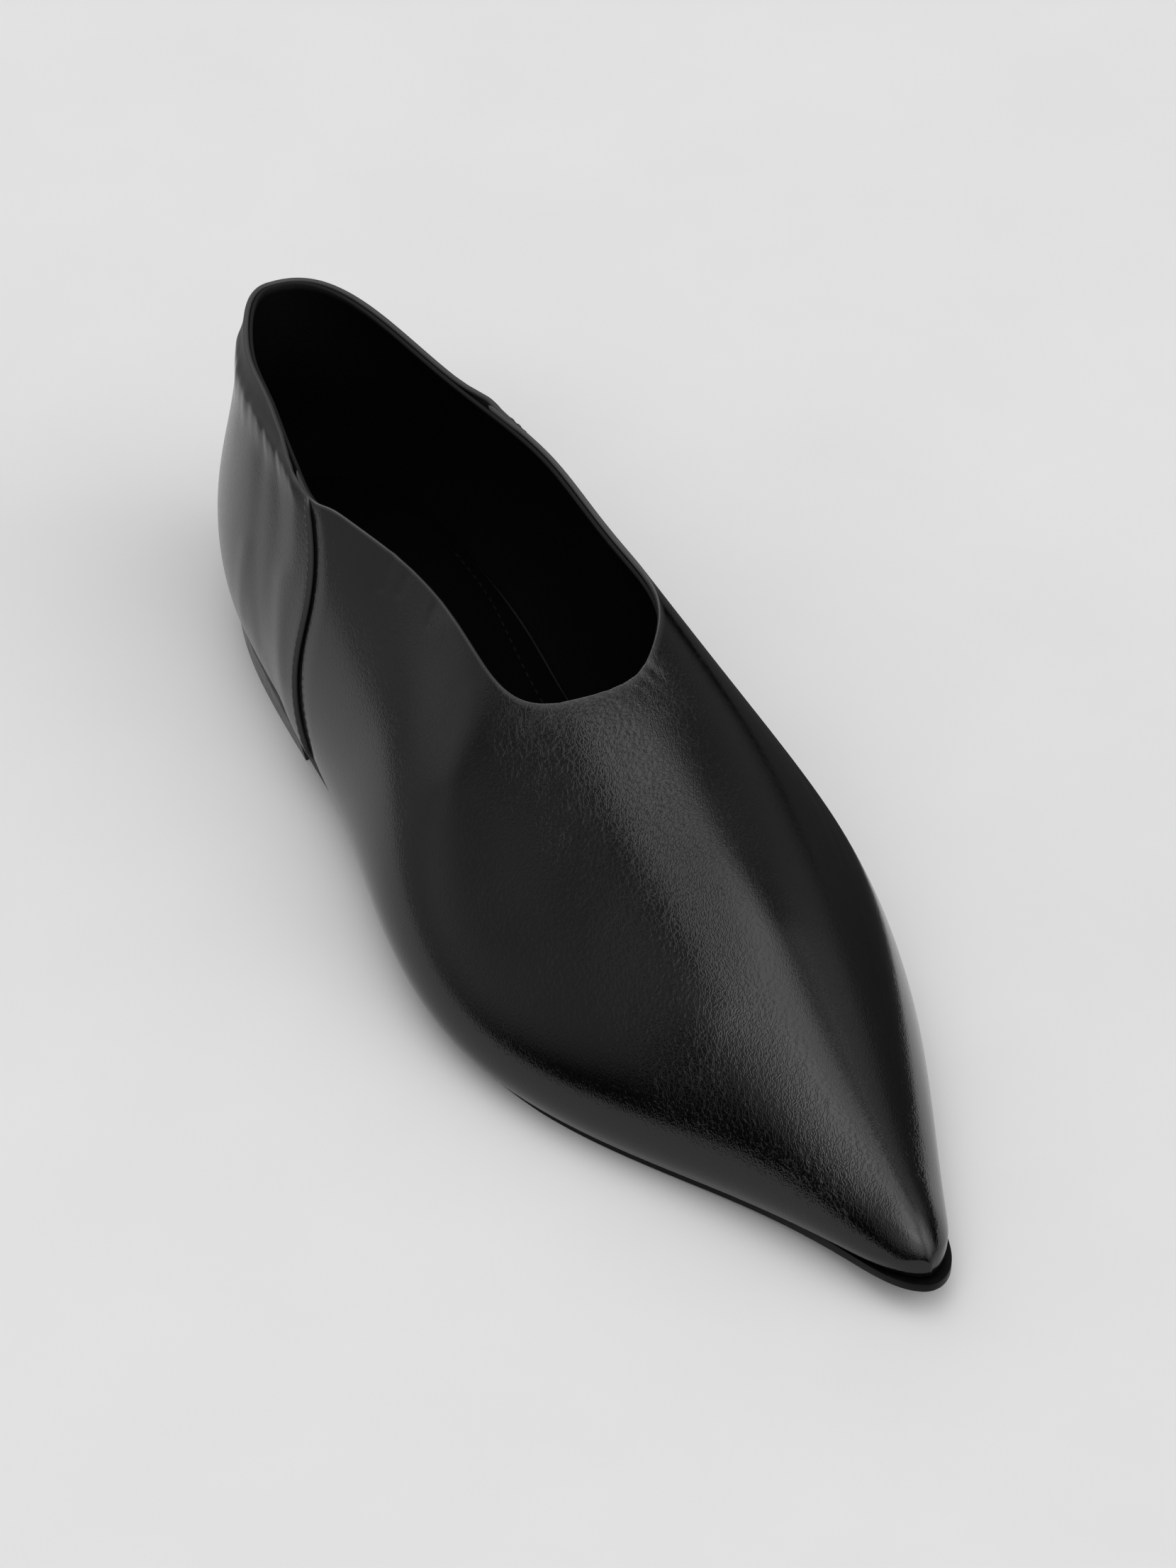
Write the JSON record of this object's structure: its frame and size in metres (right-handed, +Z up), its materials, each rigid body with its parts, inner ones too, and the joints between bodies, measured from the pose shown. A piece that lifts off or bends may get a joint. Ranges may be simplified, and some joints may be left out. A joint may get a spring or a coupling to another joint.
{
  "type": "ballet flat",
  "caption": "Right-foot pointed ballet flat: hollow leather upper with an open collar, thin outsole with a toe lip, insole, and a low block heel.",
  "frame": {"origin": "on the floor, at the bottom centre of the shoe's box", "axes": "+X to the toe, +Y to the inner (medial) side of the right foot, +Z up"},
  "size_m": [0.2702, 0.0846, 0.0618],
  "materials": {
    "upper_leather": "black nappa leather with a fine grain and a soft gloss",
    "insole_leather": "black sock leather, matt",
    "outsole": "black thin sole, satin edge",
    "heel": "black moulded heel, satin"
  },
  "bodies": {
    "root": {"upper": "upper_leather", "insole": "insole_leather", "outsole": "outsole", "heel_block": "heel"}
  },
  "joints": []
}
